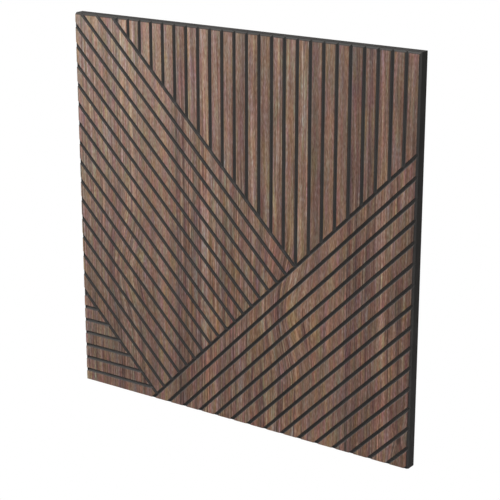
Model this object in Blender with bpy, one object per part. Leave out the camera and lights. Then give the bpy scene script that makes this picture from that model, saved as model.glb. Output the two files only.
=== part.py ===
"""Square wall panel: a black fibreboard core faced with walnut veneer and milled with V grooves.

The front looks along -Y. The back lies on the wall in the plane y = 0, and its middle is the
origin. +X is to the right of someone who faces the panel, and +Z is up. Metres and radians.

The board is pressed whole and then grooved through the veneer into the core. The grooves are
straight, share one pitch and lie in four fields: upright along the top, falling at the left,
rising at the right and level in the bottom left corner. What stands between two grooves is a
slat: a ridge of the core with a strip of veneer on it. A groove's middle runs along the top
edge and along the right edge, so these two edges are bevelled by half a groove. At the left and
bottom edges a thin wall closes the grooves' ends, and the outline runs straight across them.
"""

import math
from typing import NamedTuple

import bmesh
import bpy
from mathutils import Vector

PANEL_WIDTH = 0.600
PANEL_HEIGHT = 0.600
PANEL_THICKNESS = 0.018  # from the back to the face of the veneer
BACK_ARRIS = 0.0004  # width of the chamfer that eases the back's edges
VENEER_THICKNESS = 0.0006
GLUE_GAP = 0.0003  # between the veneer and the ridge under it

PITCH = 0.0216  # between the middles of neighbouring grooves
GROOVE_DEPTH = 0.0026  # below the face of the veneer
GROOVE_FLAT = 0.0010  # width of the groove's bottom
CUTTER_ANGLE = math.radians(90)  # between the groove's two walls

SLANT = math.radians(45)  # of the falling and rising grooves, from level
JUNCTION_SLATS = 9  # upright slats to the right of the point where three fields meet
JUNCTION_DROP = 0.333  # of that point below the top edge
FALLING_SLATS = 17

END_WALL = 0.0006  # thickness of the wall that closes the grooves at the left and bottom edges
END_WALL_DEPTH = 0.0010  # of that wall's top below the face of the veneer

WEAKEST_STRIP = 0.002  # a strip of veneer narrower than this breaks off under the cutter
MOST_STRIPS = 59  # the smallest strips beyond these are left out, and show their ridges
CREST_STEP = 0.0001  # to which the height of a ridge without veneer is found
SAME_CORNER = 0.00002  # corners of an outline closer than this are one

LEFT = -PANEL_WIDTH / 2
RIGHT = PANEL_WIDTH / 2
BOTTOM = -PANEL_HEIGHT / 2
TOP = PANEL_HEIGHT / 2
FLOOR_THICKNESS = PANEL_THICKNESS - GROOVE_DEPTH  # of the core under the grooves

ACROSS = Vector((1, 0))
UP = Vector((0, 1))
UP_RIGHT = Vector((math.sin(SLANT), math.cos(SLANT)))  # square to the falling grooves
DOWN_RIGHT = Vector((math.sin(SLANT), -math.cos(SLANT)))  # square to the rising grooves
JUNCTION = Vector((RIGHT - JUNCTION_SLATS * PITCH, TOP - JUNCTION_DROP))


class Side(NamedTuple):
    """A straight side of a slat, seen from the front. The slat lies where inward.point > start."""

    inward: Vector
    start: float
    milled: bool  # a milled side starts at a groove's middle and steps back from it


class Slat(NamedTuple):
    name: str
    sides: list


PANEL_SIDES = [
    Side(ACROSS, LEFT, milled=False),
    Side(-ACROSS, -RIGHT, milled=True),
    Side(UP, BOTTOM, milled=False),
    Side(-UP, -TOP, milled=True),
]


def step_back(depth):
    """How far a milled side stands from the middle of its groove, at a depth below the face."""
    return GROOVE_FLAT / 2 + (GROOVE_DEPTH - depth) * math.tan(CUTTER_ANGLE / 2)


def clipped(corners, inward, start):
    """The part of a convex outline where inward.point > start."""
    kept = []
    for here, after in zip(corners, corners[1:] + corners[:1]):
        inside = inward.dot(here) - start
        inside_after = inward.dot(after) - start
        if inside >= 0:
            kept.append(here)
        if (inside >= 0) != (inside_after >= 0):
            kept.append(here.lerp(after, inside / (inside - inside_after)))
    return kept


def outline(sides, depth):
    """The corners of a slat at a depth below the face, or none if the grooves leave nothing."""
    corners = [Vector((x, z)) for x, z in ((LEFT, BOTTOM), (RIGHT, BOTTOM), (RIGHT, TOP), (LEFT, TOP))]
    for side in sides:
        corners = clipped(corners, side.inward, side.start + side.milled * step_back(depth))
    apart = [c for c, after in zip(corners, corners[1:] + corners[:1]) if (c - after).length > SAME_CORNER]
    return apart if len(apart) > 2 else []


def area(corners):
    pairs = zip(corners, corners[1:] + corners[:1])
    return sum(here.cross(after) for here, after in pairs) / 2


def slats_of_field(name, bounds, across, start):
    """A field's slats: rows one pitch wide that follow each other along across, from start on."""
    longest = PANEL_WIDTH + PANEL_HEIGHT
    slats = []
    for row in range(math.ceil(longest / PITCH)):
        near = Side(across, start + row * PITCH, milled=True)
        far = Side(-across, -(start + (row + 1) * PITCH), milled=True)
        sides = [*PANEL_SIDES, *bounds, near, far]
        if outline(sides, GROOVE_DEPTH):
            slats.append(Slat(f"veneer_{name}_{len(slats) + 1:02d}", sides))
    return slats


def all_slats():
    """The slats of the four fields, which meet along the first and last slanted grooves."""
    first_falling = UP_RIGHT.dot(JUNCTION)
    last_falling = first_falling - FALLING_SLATS * PITCH
    first_rising = DOWN_RIGHT.dot(JUNCTION)

    above_first_falling = Side(UP_RIGHT, first_falling, milled=True)
    below_first_falling = Side(-UP_RIGHT, -first_falling, milled=True)
    above_last_falling = Side(UP_RIGHT, last_falling, milled=True)
    below_last_falling = Side(-UP_RIGHT, -last_falling, milled=True)
    above_first_rising = Side(-DOWN_RIGHT, -first_rising, milled=True)
    below_first_rising = Side(DOWN_RIGHT, first_rising, milled=True)

    upright = [above_first_falling, above_first_rising]
    falling = [below_first_falling, above_last_falling, above_first_rising]
    rising = [below_first_rising]
    level = [below_last_falling, above_first_rising]
    return [
        *slats_of_field("upright", upright, -ACROSS, -RIGHT),
        *slats_of_field("falling", falling, -UP_RIGHT, -first_falling),
        *slats_of_field("rising", rising, DOWN_RIGHT, first_rising),
        *slats_of_field("level", level, -UP, -TOP),
    ]


def end_walls():
    """Two thin ridges along the left and bottom edges, where the grooves stop just inside the board."""
    inside_left = Side(-ACROSS, -(LEFT + END_WALL), milled=False)
    inside_bottom = Side(-UP, -(BOTTOM + END_WALL), milled=False)
    return [Slat("left_wall", [*PANEL_SIDES, inside_left]), Slat("bottom_wall", [*PANEL_SIDES, inside_bottom])]


def carries_veneer(slat):
    """Whether the face of a slat is wide enough for its strip of veneer to hold."""
    narrowed = [Side(s.inward, s.start + WEAKEST_STRIP / 2, s.milled) for s in slat.sides]
    return bool(outline(narrowed, 0))


def crest(ridge, depth):
    """The depth of a ridge's top: as given, or deeper where the grooves' walls meet below it."""
    while not outline(ridge.sides, depth):
        depth += CREST_STEP
    return depth


def level_points(corners, depth):
    """An outline's corners in the panel's frame, at a depth below the face."""
    return [Vector((c.x, depth - PANEL_THICKNESS, c.y)) for c in corners]


def add_hull(shape, points):
    """Adds the convex solid round a set of points to a mesh."""
    corners = [shape.verts.new(point) for point in points]
    hull = bmesh.ops.convex_hull(shape, input=corners)
    left_over = {v for v in hull["geom_interior"] + hull["geom_unused"] if isinstance(v, bmesh.types.BMVert)}
    bmesh.ops.delete(shape, geom=list(left_over), context="VERTS")


def add_object(name, shape, material, place=(0, 0, 0)):
    """Makes an object from a mesh that is given in the panel's frame, with its origin at place."""
    bmesh.ops.translate(shape, vec=-Vector(place), verts=shape.verts)
    bmesh.ops.recalc_face_normals(shape, faces=shape.faces)
    mesh = bpy.data.meshes.new(name)
    shape.to_mesh(mesh)
    shape.free()
    if material:
        mesh.materials.append(material)
    thing = bpy.data.objects.new(name, mesh)
    thing.location = place
    bpy.context.scene.collection.objects.link(thing)
    return thing


def add_material(name, colour, roughness):
    material = bpy.data.materials.new(name)
    material.use_nodes = True
    shader = material.node_tree.nodes["Principled BSDF"]
    shader.inputs["Base Color"].default_value = (*colour, 1)
    shader.inputs["Roughness"].default_value = roughness
    shader.inputs["Metallic"].default_value = 0
    return material


def add_strip(slat, material):
    """A strip of veneer: its face, and its wider underside a veneer's thickness below."""
    face = outline(slat.sides, 0)
    underside = outline(slat.sides, VENEER_THICKNESS)
    middle = sum(underside, Vector((0, 0))) / len(underside)
    shape = bmesh.new()
    add_hull(shape, level_points(face, 0) + level_points(underside, VENEER_THICKNESS))
    return add_object(slat.name, shape, material, level_points([middle], VENEER_THICKNESS)[0])


def add_ridge(shape, ridge, depth):
    """Adds what stands on the core, rooted in it, up to a depth below the face."""
    depth = crest(ridge, depth)
    foot = outline(ridge.sides, GROOVE_DEPTH)
    root = level_points(foot, GROOVE_DEPTH + FLOOR_THICKNESS / 2)
    top = level_points(outline(ridge.sides, depth), depth)
    add_hull(shape, root + level_points(foot, GROOVE_DEPTH) + top)


def add_ridges(slats):
    """The ridges under the veneer, and the walls that close the grooves' ends."""
    shape = bmesh.new()
    for slat in slats:
        add_ridge(shape, slat, VENEER_THICKNESS + GLUE_GAP)
    for wall in end_walls():
        add_ridge(shape, wall, END_WALL_DEPTH)
    return add_object("ridges", shape, None)


def add_core(ridges, material):
    """The black board: a plain slab as high as the grooves' bottoms, with the ridges on it."""
    shape = bmesh.new()
    bmesh.ops.create_cube(shape, size=1)
    bmesh.ops.scale(shape, vec=(PANEL_WIDTH, FLOOR_THICKNESS, PANEL_HEIGHT), verts=shape.verts)
    back_edges = [edge for edge in shape.edges if all(v.co.y > 0 for v in edge.verts)]
    bmesh.ops.bevel(shape, geom=back_edges, offset=BACK_ARRIS, segments=1, affect="EDGES")
    bmesh.ops.translate(shape, vec=(0, -FLOOR_THICKNESS / 2, 0), verts=shape.verts)
    core = add_object("grooved_core", shape, material)
    union = core.modifiers.new("ridges", "BOOLEAN")
    union.operation = "UNION"
    union.object = ridges
    union.use_self = True  # the end walls run through the ridges
    ridges.hide_render = True
    ridges.display_type = "WIRE"
    return core


def build():
    for thing in list(bpy.data.objects):
        bpy.data.objects.remove(thing)

    walnut = add_material("walnut veneer", (0.135, 0.085, 0.062), roughness=0.5)
    black_board = add_material("black fibreboard", (0.020, 0.020, 0.021), roughness=0.7)

    slats = all_slats()
    largest_first = sorted(filter(carries_veneer, slats), key=lambda slat: -area(outline(slat.sides, 0)))
    faced = largest_first[:MOST_STRIPS]

    core = add_core(add_ridges(slats), black_board)
    strips = [add_strip(slat, walnut) for slat in slats if slat in faced]

    panel = bpy.data.objects.new("panel", None)
    bpy.context.scene.collection.objects.link(panel)
    for piece in [core, *strips]:
        piece.parent = panel


build()
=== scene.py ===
"""The slatted wall panel as it looks: walnut veneer on a grooved black board, in a white studio.

The front looks along -Y and +Z is up. Metres, and radians for angles. The veneer's figure is in
millimetres from the middle of the panel, where x goes to the right and z goes up.
"""

import math

import bmesh
import bpy
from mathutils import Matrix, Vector


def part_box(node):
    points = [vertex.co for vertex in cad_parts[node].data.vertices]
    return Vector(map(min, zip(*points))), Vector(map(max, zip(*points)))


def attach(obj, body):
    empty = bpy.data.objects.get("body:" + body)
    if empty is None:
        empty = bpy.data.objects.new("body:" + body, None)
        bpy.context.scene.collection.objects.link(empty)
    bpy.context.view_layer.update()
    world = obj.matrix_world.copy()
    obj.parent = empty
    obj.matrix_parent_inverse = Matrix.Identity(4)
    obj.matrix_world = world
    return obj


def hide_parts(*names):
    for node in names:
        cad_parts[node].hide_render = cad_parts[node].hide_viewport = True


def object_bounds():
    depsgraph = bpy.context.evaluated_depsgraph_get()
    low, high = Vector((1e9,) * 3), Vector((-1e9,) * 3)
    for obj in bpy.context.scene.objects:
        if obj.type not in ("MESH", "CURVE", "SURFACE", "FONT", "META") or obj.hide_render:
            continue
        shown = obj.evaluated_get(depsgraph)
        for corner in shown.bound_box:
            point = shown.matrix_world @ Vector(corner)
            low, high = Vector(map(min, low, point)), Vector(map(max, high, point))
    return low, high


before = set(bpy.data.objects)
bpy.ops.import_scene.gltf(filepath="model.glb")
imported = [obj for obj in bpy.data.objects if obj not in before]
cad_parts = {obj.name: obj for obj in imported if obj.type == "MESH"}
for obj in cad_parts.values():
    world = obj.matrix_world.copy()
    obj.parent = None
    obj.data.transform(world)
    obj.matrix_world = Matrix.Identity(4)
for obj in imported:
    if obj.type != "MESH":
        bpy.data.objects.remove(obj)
CAD_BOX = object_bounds()

MM = 0.001

# The panel, read from the frame
LEFT, FACE, BOTTOM = CAD_BOX[0]
_, _, TOP = CAD_BOX[1]
CORE = "grooved_core"

# The strips of veneer
VENEER_THICKNESS = 0.6 * MM
RIDGE_DEPTH = 0.9 * MM  # of a ridge's top below the face of the veneer
CUTTER_SLOPE = math.tan(math.radians(90 / 2))  # of a groove's wall, sideways for each step up
HAIR = 0.02 * MM  # keeps a strip's underside off its ridge
ARRIS = 0.10 * MM  # of a strip's edge, worn round by sanding
STRIP_PROFILE = [  # from the underside up: depth below the face, and how far the edge is worn back
    (RIDGE_DEPTH - HAIR, 0),
    (VENEER_THICKNESS, 0),
    (ARRIS, 0),
    (0.3 * ARRIS, 0.1 * ARRIS),
    (0, 0.9 * ARRIS),
]
WEAKEST_STRIP = 2 * MM  # a strip narrower than this breaks off under the cutter
NEAR = 0.01 * MM  # two lengths closer than this are the same
STRAIGHT = math.radians(1)  # a corner that turns less than this is none

# The leaves of veneer and the bends of their grain, in millimetres
LEAF_WIDTH = 302
LEAF_JOINT = -110.5  # where one of the joints between leaves stands
LEAF_LEAN = 0.0057  # of the joints, to the left for each step up
JOINT_LINE = (1, 3)  # the middle of a joint's dark line across its leaf, and its reach
SLICE_STEP = 0.35  # from a leaf to the next, in waves of the noises
LONG_SWAY, SHORT_SWAY = 7, 2.2
BOW = (200, -100)  # the middle of the place where the grain bows out: across its leaf, and up
BOW_WIDTH, BOW_LENGTH = 66, 115  # to either side of it, and above and below it
BOW_REACH = 21
KNOT = (283.5, -257.5)  # a pin knot near the lower right corner
KNOT_STRETCH = 2  # how many times as high as wide it is
KNOT_ROUNDING = 12  # added to the square of the distance from it, which is then never 0
KNOT_CORE, KNOT_EDGE = 3.5, 6.5  # the distances, counted so, between which its dark spot fades out
KNOT_WIDTH, KNOT_LENGTH = 24, 60  # how far to the sides, and up and down, it turns the grain
KNOT_PUSH = 9  # how far to the side

# The places where the figure changes, in millimetres
PLAIN_FROM, PLAIN_TO = 228, 248  # across a leaf: from here to the next joint the figure is plain
CROWN_REACH = 130  # to either side of the panel's middle, where the top of the panel is calmer
CROWN_FROM, CROWN_TO = 40, 140
LOW_FROM, LOW_TO = 130, -130  # down the panel, to where it is more colourful
CORNER_RISE, CORNER_RUN = 0.9, 1.1  # how the wood gets paler and greyer upwards, and to the left: partly its own tone, partly a painted sheen
CORNER_FROM, CORNER_TO = -300, 560
FAR_CORNER = 0.3  # the share of the way to the corner from which it gets paler still
DIAGONAL_REACH = 450  # from the diagonal that falls to the right, the palest, to the darker wood
RIGHT_FROM, RIGHT_TO = 120, 300
SMUDGE = (-266, -134)  # the middle of the right edge of a bare grey patch near the left edge
SMUDGE_EDGE, SMUDGE_REACH = 3, 36  # the width of that edge, and its reach up and down

# The veneer's marks
WAVES = {  # of each noise: width and length in millimetres, seed, detail
    "long sway": (70, 260, 1.5, 0),
    "short sway": (18, 70, 8.5, 0),
    "wide bands": (26, 700, 21.5, 0),
    "bands": (8, 360, 33.5, 1),
    "lines": (2.8, 170, 47.5, 1),
    "hairs": (1.3, 60, 55.5, 0),
    "fibre": (0.7, 30, 51.5, 1),
    "flecks": (0.9, 6, 71.5, 0),
    "pores": (0.45, 5, 131.5, 0),
    "mottle": (9, 7, 63.5, 1),
    "ring drift": (11, 420, 71.5, 0),
    "ringed bands": (9, 110, 87.5, 0),
    "dashes": (3.4, 60, 205.5, 0),
    "yellow spots": (9, 45, 163.5, 0),
    "warm bands": (9, 110, 111.5, 1),
    "warm lines": (4.5, 45, 169.5, 0),
    "warm hairs": (2.4, 22, 119.5, 0),
    "pink bands": (7, 90, 141.5, 1),
    "pink lines": (4, 40, 177.5, 0),
    "pink hairs": (2.2, 18, 149.5, 0),
}
CRESTS = {  # of the noises of which only the crests show: where a mark starts, and where it is full
    "pores": (0.10, 0.20),
    "ringed bands": (0.0, 0.16),
    "dashes": (0.11, 0.23),
    "yellow spots": (0.06, 0.22),
}
FINE_GRAIN = {"hairs": 0.8, "fibre": 0.36, "flecks": 1.3, "pores": -0.28}  # the strength of each part
MARKS = {  # how much lighter, warmer and pinker each mark makes the wood
    "wide bands": (0.24, 0, 0),
    "bands": (0.5, 0, 0),
    "lines": (1.5, -0.3, -0.075),
    "fine grain": (1, -0.5, -0.12),
    "mottle": (0.35, 0, 0),
    "rings": (-0.75, 0.06, 0.04),
    "dashes": (-0.4, 0, 0.06),
    "yellow spots": (0.07, 0.08, -0.05),
    "warm bands": (0, 0.28, 0),
    "warm lines": (0, 0.30, 0),
    "warm hairs": (0, 0.28, 0),
    "pink bands": (0, 0, 0.27),
    "pink lines": (0, 0, 0.25),
    "pink hairs": (0, 0, 0.16),
    "joint": (-0.26, 0, 0),
    "knot": (-0.9, 0, 0),
    "smudge": (-0.2, 0, 0),
    # paler and greyer towards the upper left: partly the veneer's own tone, partly a painted sheen
    "corner": (0.26, -0.16, -0.06),
    "far corner": (0.22, 0, 0),
    "off the diagonal": (-0.12, 0, 0),
    "right edge": (-0.10, 0, 0),
}
PLAIN_LOOK = (0, 0.10, 0.02)  # how much lighter, warmer and pinker it is without any mark
RING_STEP = 4.6  # between two yearly rings
RING_DRIFT = 2.4  # how many rings the lines stray
RING_START, RING_DARKEST = 0.55, 0.9  # the share of a ring over which its line darkens
RING_END, RING_STOP = 0.96, 1.0  # and the share over which it ends
STREAK_END = 20  # half the length over which a streak fades out
FOOT, HEAD = -400, 400  # ends past the panel's own: a streak between them runs all the way
EVERY, LEFT_LEAF, MIDDLE_LEAF, RIGHT_LEAF = None, -1, 0, 1
RINGED = {  # where the rings show too: leaf; middle and reach across it; lowest and highest point; strength
    "red slat's foot": (LEFT_LEAF, 181, 13, FOOT, -90, 1),
    "bow": (MIDDLE_LEAF, 200, 20, -250, -30, 1),
    "dusky band": (EVERY, 20, 14, FOOT, HEAD, 0.8),
}
STREAKS = {  # leaf; middle and reach across it; lowest and highest point; how much lighter, warmer, pinker
    "dusky edge": (EVERY, 2, 8, FOOT, HEAD, -0.50, -0.02, 0.05),
    "dusky band": (EVERY, 14, 8, FOOT, HEAD, -0.26, -0.01, 0.03),
    "red band": (EVERY, 35, 7, -60, HEAD, -0.38, -0.03, 0.04),
    "red band's foot": (EVERY, 34, 9, FOOT, -80, -0.10, -0.02, 0.03),
    "beige slats": (EVERY, 55, 12, FOOT, HEAD, 0.18, 0.01, 0),
    "beige line": (EVERY, 71, 5, FOOT, HEAD, 0.09, 0, 0),
    "brown line": (EVERY, 83, 7, FOOT, 150, -0.20, 0, 0.01),
    "brown slat": (EVERY, 101, 13, FOOT, 90, -0.20, -0.01, 0.01),
    "fine brown line": (EVERY, 124, 5, FOOT, HEAD, -0.13, 0, 0.01),
    "fine red line": (EVERY, 190, 5, FOOT, 60, -0.12, 0, 0.02),
    "speckled slat": (EVERY, 208, 10, -60, HEAD, 0.18, 0, 0),
    "tan line": (EVERY, 220, 8, FOOT, HEAD, 0.12, 0.02, -0.01),
    "tan field": (EVERY, 281, 21, FOOT, HEAD, 0.13, 0.01, -0.01),
    "brown head": (LEFT_LEAF, 133, 7, 60, HEAD, -0.18, 0, 0.01),
    "bright line": (LEFT_LEAF, 157, 5, -10, 150, 0.22, 0.02, -0.01),
    "red slat": (LEFT_LEAF, 181, 15, FOOT, HEAD, -0.14, -0.02, 0.03),
    "brown foot": (LEFT_LEAF, 231, 9, FOOT, -150, -0.18, -0.03, 0.01),
    "dark head": (MIDDLE_LEAF, 123, 6, 120, HEAD, -0.16, 0, 0.03),
    "bright head": (MIDDLE_LEAF, 142, 6, -40, HEAD, 0.12, 0, 0),
    "yellow foot": (MIDDLE_LEAF, 168, 17, FOOT, -50, 0.16, 0.04, -0.03),
    "light band": (MIDDLE_LEAF, 176, 9, FOOT, 110, 0.16, 0.01, -0.02),
    "wavy light line": (MIDDLE_LEAF, 184, 6, 20, HEAD, 0.26, 0.01, -0.01),
    "wavy dark line": (MIDDLE_LEAF, 187, 5, -60, 110, -0.20, 0, 0.03),
    "yellow tongue": (MIDDLE_LEAF, 221, 9, FOOT, -50, 0.10, 0.04, -0.03),
    "light head": (MIDDLE_LEAF, 234, 7, 20, HEAD, 0.22, 0, -0.02),
    "purple slat": (MIDDLE_LEAF, 250, 11, -30, HEAD, -0.24, -0.03, 0.02),
    "yellow slat": (MIDDLE_LEAF, 249, 12, FOOT, -60, 0.16, 0.03, -0.03),
    "bright slat": (RIGHT_LEAF, 60, 7, FOOT, 100, 0.26, 0.01, -0.01),
    "dark line": (RIGHT_LEAF, 66, 5, 120, HEAD, -0.26, -0.04, 0),
    "dark foot": (RIGHT_LEAF, 86, 6, FOOT, -50, -0.15, 0, 0.02),
}

# The finish, as linear colours and shares
WALNUT = (0.232, 0.1422, 0.1085)  # the veneer's middling tone
WARMTH = (0.65, 0.10, -0.75)  # how a warmer mark changes red, green and blue
BLUSH = (0.49, -0.80, 0.34)  # how a pinker mark changes them
WALNUT_ROUGHNESS, PORE_ROUGHNESS, RING_ROUGHNESS = 0.5, 0.16, 0.12  # and what pores and rings add
WALNUT_RELIEF = 0.04 * MM
FIBRE_RISE, PORE_SINK = 0.5, 0.6  # shares of that relief
WALL_PAINTED_SHADE = 0.85  # painted shade: how much darker the strips' edges on the groove walls are made
UP_LEFT_WALL_PAINTED_SHADE = 0.35  # less painted shade on those that face up to the left, towards the light
UP_WALL_PAINTED_SHADE = 0.65  # and less on those that face up
FACE_TO_WALL, SIDE_TO_WALL = (0.93, 0.85), (0.3, 0.5)  # how far a surface faces the front
TO_UP_LEFT, TO_UP = (0.85, 0.95), (0.6, 0.68)  # how far it faces that way, from not at all to enough
RIM = 4 * MM  # the band along the top edge where the strips' edges keep the full painted shade even where they face up
RIM_END = 0.8  # the share of its width from which that full painted shade fades out
BOARD_FIBRE, BOARD_BINDER = (0.061, 0.057, 0.0535, 1), (0.0395, 0.037, 0.035, 1)
BOARD_CONTRAST = (0.36, 0.64)  # the share of fibre where the colour is all binder, and all fibre
FIBRE_SHARE, CLOUD_SHARE = 0.65, 0.35  # of that share, from the fibres and from the wide clouds
FIBRE_LENGTH, FIBRE_DEPTH = 1.2 * MM, 0.5 * MM  # in the board's plane, and square to it
CLOUD_SIZE = 40 * MM
BOARD_ROUGHNESS, FIBRE_ROUGHNESS = 0.62, 0.2  # and what a fibre adds
BOARD_RELIEF = 0.03 * MM

# The camera
CAMERA_PLACE = Vector((1.2775, -1.8041, 0.6621))
CAMERA_TURN = math.radians(35.03)  # to the left of a camera that looks along +Y
CAMERA_TILT = math.radians(-17.39)
CAMERA_LENS, SENSOR_WIDTH = 111.9, 36  # both in millimetres, as Blender's camera has them

# The studio
FLOOR_DROP = 0.6  # of the floor below the panel
FLOOR_SIZE = 60
FLOOR_GREY = 0.5
AMBIENT = 0.05
PAPER_WHITE = 1.0
LAMPS = {  # place and power of each round soft lamp; all look at the panel's middle
    "overhead": (Vector((0.00, -0.50, 2.35)), 34),
    "left": (Vector((-2.10, -0.90, 0.70)), 28),
    "front": (Vector((-0.35, -1.90, 1.30)), 17),
    "right": (Vector((2.05, -1.05, 0.10)), 11),
    "behind": (Vector((-0.80, 2.40, -0.10)), 18),
}
LAMP_SIZE = 1.0


class Number:
    """A number that varies over a surface. Arithmetic on it adds Math nodes."""

    def __init__(self, paint, socket):
        self.paint = paint
        self.socket = socket

    def math(self, operation, *values):
        sockets = dict(enumerate(values))
        return self.paint.number("ShaderNodeMath", {"operation": operation}, sockets)

    def __add__(self, other):
        return self.math("ADD", self, other)

    __radd__ = __add__

    def __sub__(self, other):
        return self.math("SUBTRACT", self, other)

    def __rsub__(self, other):
        return self.math("SUBTRACT", other, self)

    def __mul__(self, other):
        return self.math("MULTIPLY", self, other)

    __rmul__ = __mul__

    def __truediv__(self, other):
        return self.math("DIVIDE", self, other)

    def __neg__(self):
        return self.math("MULTIPLY", self, -1)

    def __abs__(self):
        return self.math("ABSOLUTE", self)

    def whole(self):
        """The whole number below this one."""
        return self.math("FLOOR", self)

    def square(self):
        return self.math("POWER", self, 2)

    def root(self):
        return self.math("SQRT", self)

    def exponential(self):
        return self.math("EXPONENT", self)

    def least(self, other):
        return self.math("MINIMUM", self, other)

    def ramp(self, start, end, smooth=True):
        """0 up to start and 1 from end on, or the other way round if start is above end."""
        settings = {"interpolation_type": "SMOOTHSTEP" if smooth else "LINEAR", "clamp": True}
        sockets = {"Value": self, "From Min": start, "From Max": end}
        return self.paint.number("ShaderNodeMapRange", settings, sockets)

    def hill(self, middle, reach):
        """1 at middle, and down to 0 at reach to either side of it."""
        return abs(self - middle).ramp(reach, 0)


class Paint:
    """The nodes of a material, or of the world, round its own shader."""

    def __init__(self, owner, shader="Principled BSDF"):
        self.owner = owner
        owner.use_nodes = True
        self.nodes = owner.node_tree.nodes
        self.links = owner.node_tree.links
        self.shader = self.nodes[shader]

    def node(self, kind, settings, sockets):
        """Adds a node, with its settings first and then the values or links of its sockets."""
        new = self.nodes.new(kind)
        for setting, value in settings.items():
            setattr(new, setting, value)
        self.feed(new, sockets)
        return new

    def feed(self, node, sockets):
        """Links the named sockets of a node to other nodes, or sets their plain values."""
        for name, value in sockets.items():
            if isinstance(value, Number):
                value = value.socket
            if isinstance(value, bpy.types.NodeSocket):
                self.links.new(value, node.inputs[name])
            else:
                node.inputs[name].default_value = value

    def number(self, kind, settings, sockets, output=0):
        return Number(self, self.node(kind, settings, sockets).outputs[output])

    def axes(self, vector):
        """The x, y and z of a vector."""
        apart = self.node("ShaderNodeSeparateXYZ", {}, {"Vector": vector})
        return [Number(self, apart.outputs[axis]) for axis in "XYZ"]

    def place(self):
        """Where a point of the surface is in the panel's frame."""
        return self.axes(self.node("ShaderNodeTexCoord", {}, {}).outputs["Object"])

    def facing(self):
        """The way the surface faces in the panel's frame."""
        return self.axes(self.node("ShaderNodeNewGeometry", {}, {}).outputs["True Normal"])

    def noise(self, x, y, z, detail, roughness=0.5):
        """Smooth noise from 0 to 1, about one wave to each unit of x, y and z."""
        where = self.node("ShaderNodeCombineXYZ", {}, {"X": x, "Y": y, "Z": z}).outputs["Vector"]
        sockets = {"Vector": where, "Scale": 1, "Detail": detail, "Roughness": roughness}
        return self.number("ShaderNodeTexNoise", {}, sockets, "Fac")

    def colour(self, red, green, blue):
        """A colour made of three numbers."""
        channels = {"Red": red, "Green": green, "Blue": blue}
        return self.node("ShaderNodeCombineColor", {}, channels).outputs["Color"]

    def mix(self, share, first, second):
        """A colour between two."""
        share_at, first_at, second_at, colour_at = 0, 6, 7, 2  # a Mix node's sockets for colours
        sockets = {share_at: share, first_at: first, second_at: second}
        return self.node("ShaderNodeMix", {"data_type": "RGBA"}, sockets).outputs[colour_at]

    def bump(self, height, distance):
        """Raises the surface by height times distance."""
        raised = self.node("ShaderNodeBump", {}, {"Height": height, "Distance": distance})
        self.feed(self.shader, {"Normal": raised.outputs["Normal"]})

    def seen(self):
        """1 where the camera looks at a thing itself, and 0 where its light falls on others."""
        return self.number("ShaderNodeLightPath", {}, {}, "Is Camera Ray")


def grey(value):
    return (value, value, value, 1)


def black_board():
    """Through-dyed fibreboard: pressed black fibres, a little paler where they catch the light."""
    paint = Paint(bpy.data.materials.new("black_fibreboard"))
    x, y, z = paint.place()
    fibres = paint.noise(x / FIBRE_LENGTH, y / FIBRE_DEPTH, z / FIBRE_LENGTH, detail=3, roughness=0.6)
    cloud = paint.noise(x / CLOUD_SIZE, y / CLOUD_SIZE, z / CLOUD_SIZE, detail=2)
    share = (FIBRE_SHARE * fibres + CLOUD_SHARE * cloud).ramp(*BOARD_CONTRAST)
    colour = paint.mix(share, BOARD_BINDER, BOARD_FIBRE)
    roughness = BOARD_ROUGHNESS + FIBRE_ROUGHNESS * fibres
    paint.feed(paint.shader, {"Base Color": colour, "Roughness": roughness})
    paint.bump(fibres, BOARD_RELIEF)
    return paint.owner


class Figure:
    """The veneer's figure: coordinates in millimetres that follow the grain, and noise along it.

    The sheet is slip matched: leaves cut one after another from a log lie side by side, so each
    joint starts the same figure again.
    """

    def __init__(self, paint):
        self.paint = paint
        self.x, _, self.z = [length / MM for length in paint.place()]
        along_row = self.x + LEAF_LEAN * self.z - LEAF_JOINT
        self.leaf = (along_row / LEAF_WIDTH).whole()
        self.across = along_row - self.leaf * LEAF_WIDTH
        self.slice = self.leaf * SLICE_STEP
        self.grain = self.across  # straight, until it sways, bows and gives way to the knot
        sway = LONG_SWAY * self.waves("long sway") + SHORT_SWAY * self.waves("short sway")
        bow = BOW_REACH * self.across.hill(BOW[0], BOW_WIDTH) * self.z.hill(BOW[1], BOW_LENGTH)
        aside, above = self.x - KNOT[0], self.z - KNOT[1]
        from_knot = (aside.square() + above.square() / KNOT_STRETCH**2 + KNOT_ROUNDING).root()
        self.near_knot = aside.hill(0, KNOT_WIDTH) * above.hill(0, KNOT_LENGTH)
        self.knot = from_knot.ramp(KNOT_EDGE, KNOT_CORE)
        self.grain = self.across + sway + bow + KNOT_PUSH * aside / from_knot * self.near_knot

    def waves(self, name):
        """The noise of that name, of about -0.5 to 0.5. Its waves follow the grain."""
        width, length, seed, detail = WAVES[name]
        return self.paint.noise(self.grain / width, self.z / length, self.slice + seed, detail) - 0.5

    def crests(self, name):
        """1 on the highest crests of the noise of that name, and 0 between them."""
        return self.waves(name).ramp(*CRESTS[name])

    def streak(self, leaf, middle, reach, lowest, highest):
        """1 in the middle of a streak, and 0 beside it, past its ends and in other leaves."""
        within = self.grain.hill(middle, reach)
        if lowest > FOOT:
            within = within * self.z.ramp(lowest - STREAK_END, lowest + STREAK_END)
        if highest < HEAD:
            within = within * self.z.ramp(highest + STREAK_END, highest - STREAK_END)
        return within if leaf is EVERY else within * self.leaf.hill(leaf, 0.5)


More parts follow.
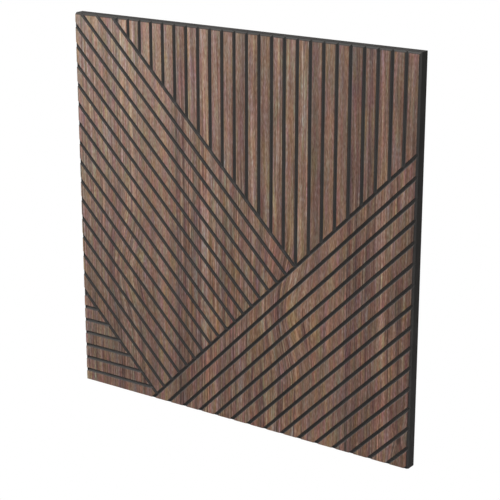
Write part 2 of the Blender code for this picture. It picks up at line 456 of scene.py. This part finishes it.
class Area:
    """The places where the figure changes, each from 0 outside it to 1 inside."""

    def __init__(self, figure):
        x, z = figure.x, figure.z
        to_corner = CORNER_RISE * z - CORNER_RUN * x
        self.plain = figure.across.ramp(PLAIN_FROM, PLAIN_TO)
        self.crown = x.hill(0, CROWN_REACH) * z.ramp(CROWN_FROM, CROWN_TO)
        self.low = z.ramp(LOW_FROM, LOW_TO)
        # the upper left, where the wood is paler and greyer: partly its own tone, partly a painted sheen
        self.corner = to_corner.ramp(CORNER_FROM, CORNER_TO, smooth=False)
        self.far_corner = self.corner.ramp(FAR_CORNER, 1)
        self.off_diagonal = abs(x + z).ramp(0, DIAGONAL_REACH)
        self.right_edge = x.ramp(RIGHT_FROM, RIGHT_TO)
        self.smudge = x.ramp(SMUDGE[0], SMUDGE[0] - SMUDGE_EDGE) * z.hill(SMUDGE[1], SMUDGE_REACH)


def ring_lines(figure):
    """The dark lines of the yearly rings, in the bands where the cut shows them."""
    ring = figure.grain / RING_STEP + RING_DRIFT * figure.waves("ring drift")
    since_last = ring - ring.whole()
    line = since_last.ramp(RING_START, RING_DARKEST) * since_last.ramp(RING_STOP, RING_END)
    ringed = figure.crests("ringed bands")
    for leaf, middle, reach, lowest, highest, strength in RINGED.values():
        ringed = ringed + strength * figure.streak(leaf, middle, reach, lowest, highest)
    return line * ringed.least(1)


def veneer_marks(figure):
    """The marks by name: noises of about -0.5 to 0.5, and shapes from 0 to 1."""
    waves, crests = figure.waves, figure.crests
    area = Area(figure)
    unsmudged = 1 - 0.7 * area.smudge
    # How strong the dark marks are, and how strong the colours
    lively = (1 - 0.55 * area.plain) * (1.25 - 0.1 * area.corner) * unsmudged * (1 - 0.35 * area.crown)
    colourful = (1.3 + 0.25 * area.low) * unsmudged * (1 - 0.3 * area.crown)
    marks = {
        "wide bands": waves("wide bands"),
        "bands": waves("bands") * (1 - 0.4 * area.plain),
        "lines": waves("lines") * lively,
        "hairs": waves("hairs") * lively,
        "fibre": waves("fibre"),
        "flecks": waves("flecks"),
        "pores": crests("pores"),
        "mottle": waves("mottle") * (1 + 1.5 * figure.near_knot),
        "rings": ring_lines(figure) * lively * (0.7 + 0.3 * area.low),
        "dashes": crests("dashes") * area.low * lively,
        "yellow spots": crests("yellow spots"),
        "warm bands": waves("warm bands") * colourful,
        "warm lines": waves("warm lines") * colourful,
        "warm hairs": waves("warm hairs"),
        "pink bands": waves("pink bands") * colourful,
        "pink lines": waves("pink lines") * colourful,
        "pink hairs": waves("pink hairs"),
        "joint": figure.across.hill(*JOINT_LINE),
        "knot": figure.knot,
        "smudge": area.smudge,
        "corner": area.corner,
        "far corner": area.far_corner,
        "off the diagonal": area.off_diagonal,
        "right edge": area.right_edge,
    }
    marks["fine grain"] = sum(strength * marks[part] for part, strength in FINE_GRAIN.items())
    return marks


def with_mark(look, mark, change):
    """A look, as how much lighter, warmer and pinker the wood is, after a mark's change to it."""
    return [so_far + more * mark if more else so_far for so_far, more in zip(look, change)]


def painted_wall_shade(paint, height):
    """Painted shade on the strips' edges: the share of the wood's colour kept, 1 on the face and less on
    the groove walls, least on walls that face neither up nor up to the left and in a rim along the top
    edge.
    """
    right, back, up = paint.facing()
    wall = (-back).ramp(*FACE_TO_WALL) * (-back).ramp(*SIDE_TO_WALL)
    up_left = (up - right).ramp(*TO_UP_LEFT)
    level = up.ramp(*TO_UP)
    below_rim = height.ramp((TOP - RIM_END * RIM) / MM, (TOP - RIM) / MM)
    # painted shade: walls that face up, or up to the left towards the light, are darkened less, except in
    # the rim along the top edge
    painted_shade_lifted = (WALL_PAINTED_SHADE - UP_LEFT_WALL_PAINTED_SHADE) * up_left + (WALL_PAINTED_SHADE - UP_WALL_PAINTED_SHADE) * level
    return 1 - wall * (WALL_PAINTED_SHADE - painted_shade_lifted * below_rim)


def walnut():
    """Crown-cut walnut veneer, oiled matt. Its grain runs up the panel and across all grooves."""
    paint = Paint(bpy.data.materials.new("walnut_veneer"))
    figure = Figure(paint)
    marks = veneer_marks(figure)
    look = PLAIN_LOOK
    for name, change in MARKS.items():
        look = with_mark(look, marks[name], change)
    for leaf, middle, reach, lowest, highest, *change in STREAKS.values():
        look = with_mark(look, figure.streak(leaf, middle, reach, lowest, highest), change)

    tone, warm, blush = look
    # the strips' edges on the groove walls get painted shade
    lightness = tone.exponential() * painted_wall_shade(paint, figure.z)
    channels = [
        lightness * wood * (1 + warming * warm + blushing * blush)
        for wood, warming, blushing in zip(WALNUT, WARMTH, BLUSH)
    ]
    roughness = WALNUT_ROUGHNESS + PORE_ROUGHNESS * marks["pores"] + RING_ROUGHNESS * marks["rings"]
    paint.feed(paint.shader, {"Base Color": paint.colour(*channels), "Roughness": roughness})
    paint.bump(FIBRE_RISE * marks["fibre"] - PORE_SINK * marks["pores"], WALNUT_RELIEF)
    return paint.owner


def clipped(corners, inward, start):
    """The part of a convex outline where inward.point > start."""
    kept = []
    for here, after in zip(corners, corners[1:] + corners[:1]):
        inside = inward.dot(here) - start
        inside_after = inward.dot(after) - start
        if inside >= 0:
            kept.append(here)
        if (inside >= 0) != (inside_after >= 0):
            kept.append(here.lerp(after, inside / (inside - inside_after)))
    return kept


def middle_of(corners):
    return sum(corners, Vector((0, 0))) / len(corners)


def on_bare_edge(here, after):
    """Whether a side lies in the panel's left or bottom edge, which the cutter doesn't bevel."""
    left = max(here.x, after.x) < LEFT + NEAR
    bottom = max(here.y, after.y) < BOTTOM + NEAR
    return left or bottom


def stepped_in(corners, step):
    """A ridge's outline with its milled sides moved in by a step."""
    middle = middle_of(corners)
    kept = corners
    for here, after in zip(corners, corners[1:] + corners[:1]):
        inward = (after - here).orthogonal().normalized()
        if inward.dot(middle - here) < 0:
            inward.negate()
        if not on_bare_edge(here, after):
            kept = clipped(kept, inward, inward.dot(here) + step)
    return [c for c, after in zip(kept, kept[1:] + kept[:1]) if (c - after).length > NEAR]


def ridge_tops():
    """The outlines of the core's ridge tops, seen from the front, as (x, z) corners in turn."""
    shape = bmesh.new()
    shape.from_mesh(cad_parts[CORE].data)
    level = FACE + RIDGE_DEPTH
    off_top = [f for f in shape.faces if any(abs(v.co.y - level) > NEAR for v in f.verts)]
    bmesh.ops.delete(shape, geom=off_top, context="FACES")
    bmesh.ops.remove_doubles(shape, verts=shape.verts, dist=NEAR)
    bmesh.ops.dissolve_limit(shape, angle_limit=STRAIGHT, verts=shape.verts, edges=shape.edges)
    tops = [[Vector((v.co.x, v.co.z)) for v in face.verts] for face in shape.faces]
    shape.free()
    return tops


def carries_veneer(top):
    """Whether the face above a ridge's top is wide enough for its strip of veneer to hold."""
    face_step = RIDGE_DEPTH * CUTTER_SLOPE
    return len(stepped_in(top, face_step + WEAKEST_STRIP / 2)) > 2


def field_of(top):
    """The name of the field that an outline lies in: that of the nearest strip of the frame."""
    middle = middle_of(top)

    def distance(node):
        low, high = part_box(node)
        centre = (low + high) / 2
        return (Vector((centre.x, centre.z)) - middle).length

    strips = [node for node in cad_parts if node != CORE]
    return min(strips, key=distance).split("_")[1]


def add_strip(shape, top):
    """Adds a strip of veneer over a ridge's top: its edge follows the groove's wall up to the face."""
    rings = []
    for depth, worn in STRIP_PROFILE:
        corners = stepped_in(top, (RIDGE_DEPTH - depth) * CUTTER_SLOPE + worn)
        rings.append([shape.verts.new((c.x, FACE + depth, c.y)) for c in corners])
    if len({len(ring) for ring in rings}) > 1:
        raise ValueError("a strip's outline changes on the way up")
    for lower, upper in zip(rings, rings[1:]):
        count = len(lower)
        for i in range(count):
            j = (i + 1) % count
            shape.faces.new((lower[i], lower[j], upper[j], upper[i]))
    shape.faces.new(rings[0])
    shape.faces.new(rings[-1])


def add_veneer(material):
    """Adds one piece of veneer for each field, in the place of the frame's strips there."""
    fields = {}
    for top in filter(carries_veneer, ridge_tops()):
        fields.setdefault(field_of(top), []).append(top)
    for field, tops in sorted(fields.items()):
        shape = bmesh.new()
        for top in tops:
            add_strip(shape, top)
        bmesh.ops.recalc_face_normals(shape, faces=shape.faces)
        mesh = bpy.data.meshes.new(f"walnut_{field}")
        shape.to_mesh(mesh)
        shape.free()
        mesh.materials.append(material)
        piece = bpy.data.objects.new(mesh.name, mesh)
        bpy.context.scene.collection.objects.link(piece)
        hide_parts(*[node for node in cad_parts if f"_{field}_" in node])
        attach(piece, "root")


def add_floor():
    """A grey paper floor, well below the panel, that the camera sees as pure white."""
    bpy.ops.mesh.primitive_plane_add(size=FLOOR_SIZE, location=(0, 0, BOTTOM - FLOOR_DROP))
    floor = bpy.context.object
    floor.name = "studio_floor"
    paint = Paint(bpy.data.materials.new("floor_paper"))
    paint.feed(paint.shader, {"Base Color": grey(FLOOR_GREY), "Roughness": 1})
    white = paint.node("ShaderNodeEmission", {}, {"Color": grey(1), "Strength": PAPER_WHITE})
    ends = {0: paint.seen(), 1: paint.shader.outputs[0], 2: white.outputs[0]}
    paper = paint.node("ShaderNodeMixShader", {}, ends)
    paint.feed(paint.nodes["Material Output"], {"Surface": paper.outputs[0]})
    floor.data.materials.append(paint.owner)


def add_room():
    """A white room that lights the panel only faintly."""
    world = bpy.data.worlds.new("white_room")
    bpy.context.scene.world = world
    paint = Paint(world, "Background")
    strength = AMBIENT + (PAPER_WHITE - AMBIENT) * paint.seen()
    paint.feed(paint.shader, {"Color": grey(1), "Strength": strength})


def add_lamps():
    """Soft lamps above, in front, on both sides and behind."""
    for name, (place, power) in LAMPS.items():
        light = bpy.data.lights.new(name, "AREA")
        light.shape = "DISK"
        light.size = LAMP_SIZE
        light.energy = power
        lamp = bpy.data.objects.new(name, light)
        lamp.location = place
        lamp.rotation_mode = "QUATERNION"
        lamp.rotation_quaternion = (-place).to_track_quat("-Z", "Y")
        bpy.context.scene.collection.objects.link(lamp)


def add_camera():
    """The camera at the photograph's viewing angle, and plain colours with no film look."""
    camera = bpy.data.cameras.new("camera")
    camera.lens = CAMERA_LENS
    camera.sensor_width = SENSOR_WIDTH
    seat = bpy.data.objects.new("camera", camera)
    seat.location = CAMERA_PLACE
    seat.rotation_euler = (math.pi / 2 + CAMERA_TILT, 0, CAMERA_TURN)
    bpy.context.scene.collection.objects.link(seat)
    bpy.context.scene.camera = seat
    bpy.context.scene.view_settings.view_transform = "Standard"


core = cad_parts[CORE]
core.data.materials.clear()
core.data.materials.append(black_board())
add_veneer(walnut())
add_floor()
add_room()
add_lamps()
add_camera()
